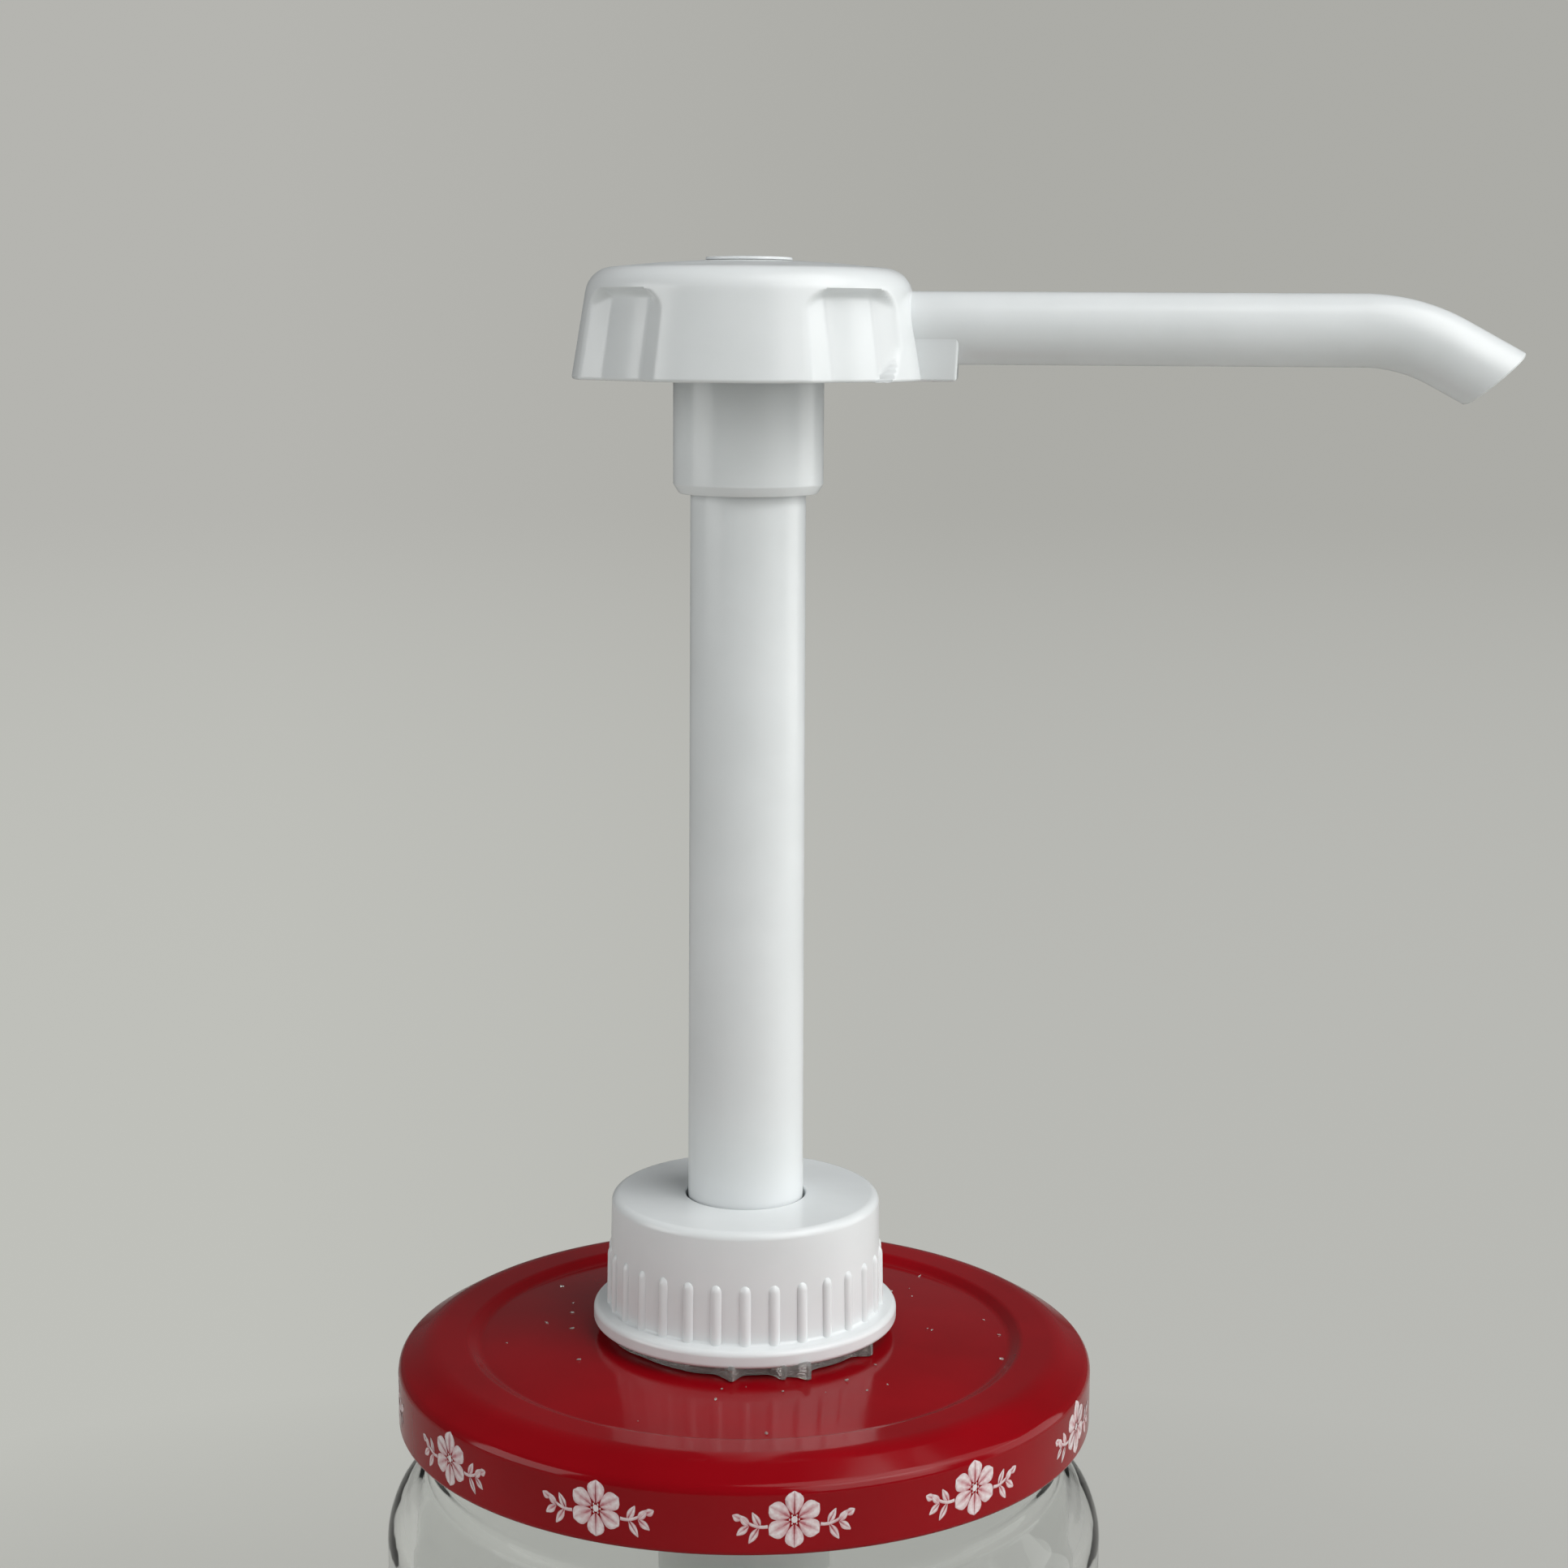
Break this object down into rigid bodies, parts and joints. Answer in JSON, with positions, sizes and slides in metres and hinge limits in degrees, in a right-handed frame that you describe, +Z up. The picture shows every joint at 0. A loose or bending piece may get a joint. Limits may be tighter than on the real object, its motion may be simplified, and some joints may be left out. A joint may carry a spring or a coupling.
{
  "type": "condiment pump dispenser",
  "caption": "Round glass jar with a red twist-off lid, a ribbed closure and a long-stroke plunger pump whose fluted head carries a side spout with a bent tip.",
  "frame": {"origin": "centre of the jar's flat bottom, on the axis of jar, lid, stem and head", "axes": "+Z up along the pump's axis, +X along the spout, -Y towards the viewer of the picture"},
  "size_m": [0.1322, 0.0878, 0.2991],
  "materials": {
    "clear_glass": "polished soda-lime glass, faint grey-green",
    "red_enamel": "gloss red enamel on tinplate with a small printed flower pattern",
    "seal_compound": "off-white moulded sealing compound",
    "white_plastic": "white moulded polypropylene, satin gloss",
    "natural_plastic": "uncoloured translucent polyethylene",
    "clear_sealant": "clear cured sealant",
    "grey_rubber": "plain matt rubber",
    "stainless_steel": "drawn and polished stainless steel"
  },
  "bodies": {
    "jar": {"jar_glass": "clear_glass"},
    "lid": {"jar_lid": "red_enamel", "lid_seal_ring": "seal_compound", "neck_fitting": "white_plastic", "sealant_bed": "clear_sealant", "neck_gasket": "grey_rubber", "closure_cap": "white_plastic", "pump_barrel": "natural_plastic", "stem_guide": "white_plastic", "ball_cage": "natural_plastic", "dip_tube": "natural_plastic", "return_spring": "stainless_steel"},
    "inlet_ball": {"inlet_ball": "stainless_steel"},
    "piston": {"piston_core": "white_plastic", "piston_seal": "natural_plastic"},
    "head": {"stem": "white_plastic", "stem_collar": "white_plastic", "outlet_seat": "natural_plastic", "spout": "white_plastic", "pump_head": "white_plastic", "head_plug": "white_plastic"},
    "outlet_ball": {"outlet_ball": "stainless_steel"}
  },
  "joints": [
    {"name": "lid_lift", "type": "slide", "parent": "jar", "child": "lid", "axis": [0, 0, 1], "range_m": [0, 0.17]},
    {"name": "inlet_ball_lift", "type": "slide", "parent": "lid", "child": "inlet_ball", "axis": [0, 0, 1], "range_m": [0, 0.0025]},
    {"name": "plunger_press", "type": "slide", "parent": "lid", "child": "piston", "axis": [0, 0, -1], "range_m": [0, 0.08], "stiffness_N_per_m": 150, "springref_m": -0.05, "deforming": ["return_spring"]},
    {"name": "head_swivel", "type": "hinge", "parent": "piston", "child": "head", "pos_m": [0, 0, 0.2716], "axis": [0, 0, 1], "continuous": true},
    {"name": "outlet_ball_lift", "type": "slide", "parent": "head", "child": "outlet_ball", "axis": [0, 0, 1], "range_m": [0, 0.0025]}
  ]
}
